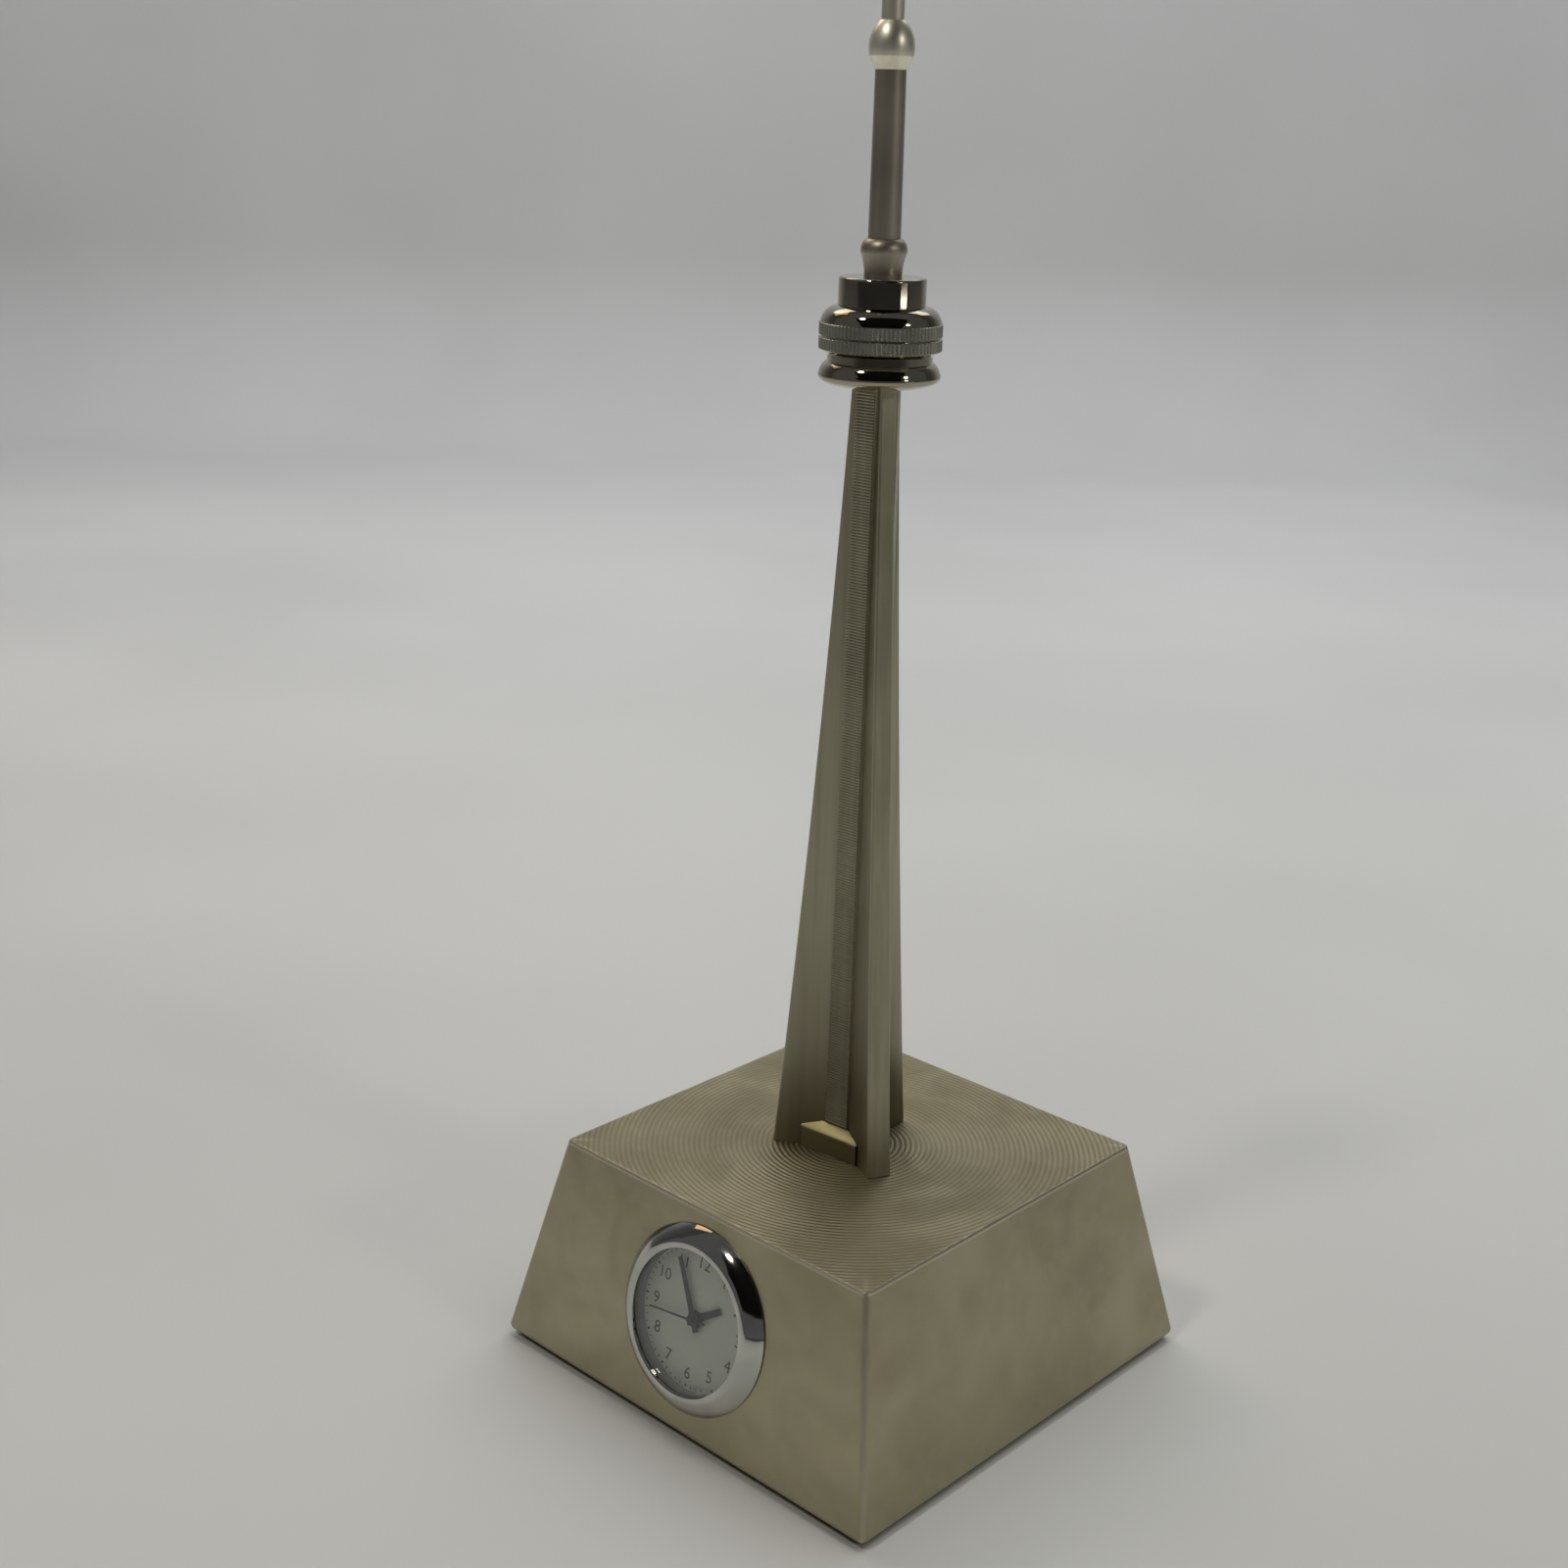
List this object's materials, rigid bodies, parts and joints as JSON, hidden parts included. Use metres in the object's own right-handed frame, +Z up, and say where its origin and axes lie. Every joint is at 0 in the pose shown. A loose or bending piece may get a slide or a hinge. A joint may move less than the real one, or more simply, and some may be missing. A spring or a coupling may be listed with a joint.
{
  "type": "tower desk clock",
  "caption": "Miniature tower on a square cut-off pyramid plinth, with a small round quartz clock set in one sloping face; a desk souvenir that stands free.",
  "frame": {"origin": "centre of the plinth's felt underside, on the tower's own axis and on the desk", "axes": "+Z up along the tower, -Y towards the face with the clock, +X to the right of someone reading the clock"},
  "size_m": [0.072, 0.073, 0.222],
  "materials": {
    "champagne": "satin",
    "polished": "polished",
    "plain_steel": "satin",
    "felt": "matte",
    "crystal": "polished",
    "dial_white": "satin",
    "silver_ring": "satin",
    "black_hands": "gloss",
    "gear_brass": "satin",
    "gear_plastic": "satin",
    "ring_plastic": "matte",
    "copper": "satin",
    "circuit_green": "satin",
    "black_rubber": "matte"
  },
  "bodies": {
    "base": {"base_shell": "champagne", "bottom_plate": "plain_steel", "plate_screws": "plain_steel", "felt_pad": "felt", "tower_screw": "plain_steel", "tower_washer": "plain_steel", "tower_shaft": "champagne", "entrance_pavilion": "champagne", "pod_flange": "polished", "pod_drum": "polished", "pod_tier": "polished", "mast_collar": "champagne", "mast": "champagne", "sky_pod": "polished", "antenna": "polished"},
    "clock": {"bezel": "polished", "crystal": "crystal", "dial_ring": "silver_ring", "dial": "dial_white", "clock_case": "plain_steel", "gasket": "black_rubber", "movement_ring": "ring_plastic", "main_plate": "gear_brass", "train_bridge": "gear_brass", "bridge_screws": "plain_steel", "stator": "plain_steel", "coil": "copper", "circuit_board": "circuit_green", "quartz_can": "plain_steel", "button_cell": "plain_steel", "cell_strap": "plain_steel"},
    "seconds": {"seconds_hand": "black_hands", "seconds_wheel": "gear_brass"},
    "minute": {"minute_hand": "black_hands", "centre_wheel": "gear_brass"},
    "hour": {"hour_hand": "black_hands", "hour_wheel": "gear_plastic"},
    "third": {"third_wheel": "gear_plastic"},
    "motion_wheel": {"minute_wheel": "gear_plastic"},
    "intermediate": {"intermediate_wheel": "gear_plastic"},
    "magnet": {"rotor": "gear_plastic"},
    "setting": {"setting_lever": "plain_steel"},
    "winder": {"stem": "plain_steel", "crown": "plain_steel"},
    "back": {"case_back": "plain_steel"}
  },
  "joints": [
    {"name": "clock_pull", "type": "slide", "parent": "base", "child": "clock", "axis": [0, -0.9792, 0.203], "range_m": [0, 0.014]},
    {"name": "seconds_turn", "type": "hinge", "parent": "clock", "child": "seconds", "pos_m": [0.0009, -0.03278, 0.01763], "axis": [0, 0.9792, -0.203], "continuous": true},
    {"name": "third_turn", "type": "hinge", "parent": "clock", "child": "third", "pos_m": [0.00324, -0.03318, 0.0157], "axis": [0, 0.9792, -0.203], "continuous": true},
    {"name": "minute_turn", "type": "hinge", "parent": "clock", "child": "minute", "pos_m": [0.0009, -0.03278, 0.01763], "axis": [0, 0.9792, -0.203], "continuous": true},
    {"name": "motion_turn", "type": "hinge", "parent": "clock", "child": "motion_wheel", "pos_m": [-0.00192, -0.03299, 0.01662], "axis": [0, 0.9792, -0.203], "continuous": true},
    {"name": "hour_turn", "type": "hinge", "parent": "clock", "child": "hour", "pos_m": [0.0009, -0.03278, 0.01763], "axis": [0, 0.9792, -0.203], "continuous": true},
    {"name": "intermediate_turn", "type": "hinge", "parent": "clock", "child": "intermediate", "pos_m": [0.00144, -0.03215, 0.02063], "axis": [0, 0.9792, -0.203], "continuous": true},
    {"name": "magnet_turn", "type": "hinge", "parent": "clock", "child": "magnet", "pos_m": [0.00256, -0.03176, 0.02253], "axis": [0, 0.9792, -0.203], "continuous": true},
    {"name": "stem_pull", "type": "slide", "parent": "clock", "child": "setting", "axis": [1, 0, 0], "range_m": [0, 0.0009]},
    {"name": "stem_turn", "type": "hinge", "parent": "setting", "child": "winder", "pos_m": [0.0009, -0.02945, 0.01694], "axis": [1, 0, 0], "continuous": true},
    {"name": "case_back_off", "type": "slide", "parent": "clock", "child": "back", "axis": [0, 0.9792, -0.203], "range_m": [0, 0.005]}
  ],
  "couplings": [
    {"joint": "third_turn", "follows": "seconds_turn", "ratio": -0.13333},
    {"joint": "minute_turn", "follows": "seconds_turn", "ratio": 0.016667},
    {"joint": "motion_turn", "follows": "seconds_turn", "ratio": -0.0055556},
    {"joint": "hour_turn", "follows": "seconds_turn", "ratio": 0.0013889},
    {"joint": "intermediate_turn", "follows": "seconds_turn", "ratio": -5},
    {"joint": "magnet_turn", "follows": "seconds_turn", "ratio": 30}
  ]
}
